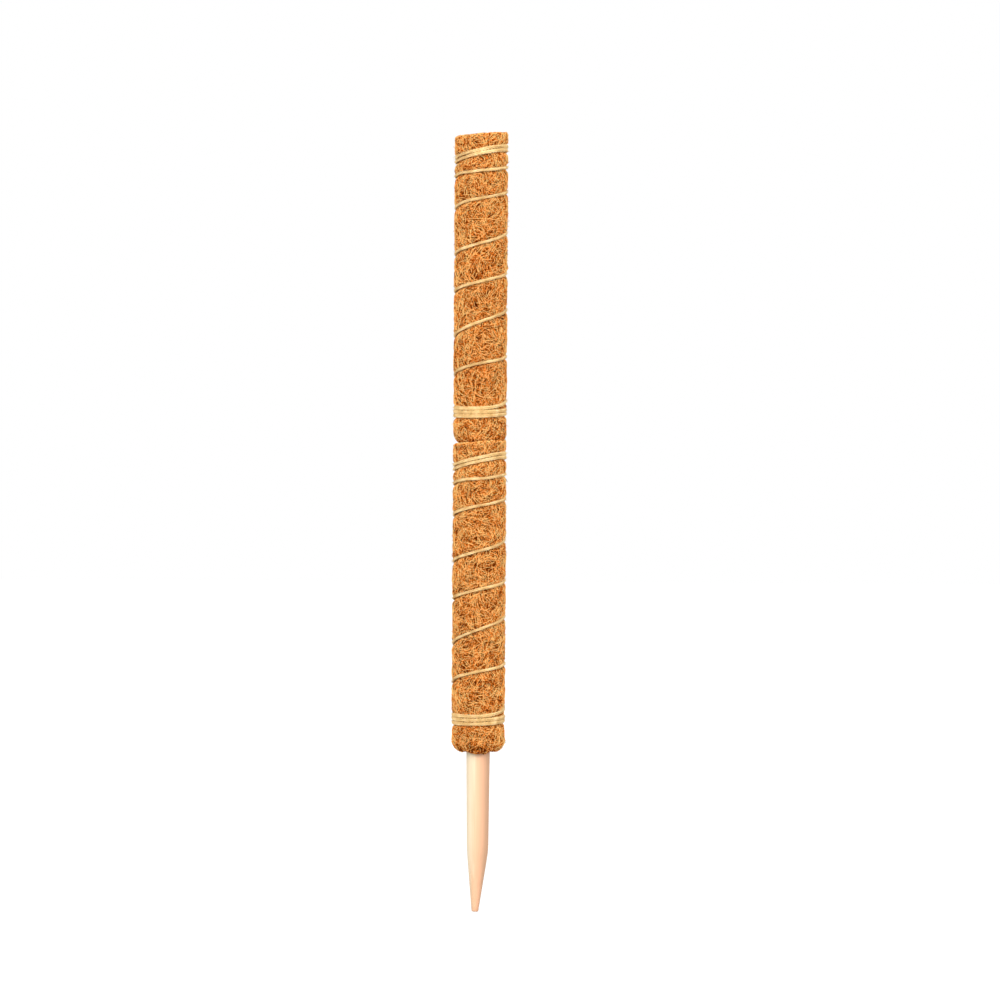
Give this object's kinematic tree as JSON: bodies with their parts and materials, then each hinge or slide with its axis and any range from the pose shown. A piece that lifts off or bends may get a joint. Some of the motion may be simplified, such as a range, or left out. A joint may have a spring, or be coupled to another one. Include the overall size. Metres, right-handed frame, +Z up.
{
  "type": "moss pole",
  "caption": "Stackable coir moss pole for climbing plants: coir-wrapped tubes bound with jute twine, each on a pointed wooden stake that plugs into the pole below.",
  "frame": {"origin": "on the pole's axis at the soil line, which is the foot of the lower pole's tube and coir", "axes": "+Z up along the pole, -Y towards the viewer, +X to the right"},
  "size_m": [0.0274, 0.0295, 0.3999],
  "materials": {
    "stake_wood": "matte",
    "core_plastic": "satin",
    "coir": "matte",
    "twine": "matte"
  },
  "bodies": {
    "lower_pole": {"lower_stake": "stake_wood", "lower_core_tube": "core_plastic", "lower_coir_mat": "coir", "lower_twine": "twine"},
    "upper_stake": {"upper_stake": "stake_wood"},
    "upper_pole": {"upper_core_tube": "core_plastic", "upper_coir_mat": "coir", "upper_twine": "twine"}
  },
  "joints": [
    {"name": "upper_pole_lift", "type": "slide", "parent": "lower_pole", "child": "upper_stake", "axis": [0, 0, 1], "range_m": [0, 0.09]},
    {"name": "upper_pole_turn", "type": "hinge", "parent": "upper_stake", "child": "upper_pole", "pos_m": [0, 0, 0.1574], "axis": [0, 0, 1], "continuous": true}
  ]
}
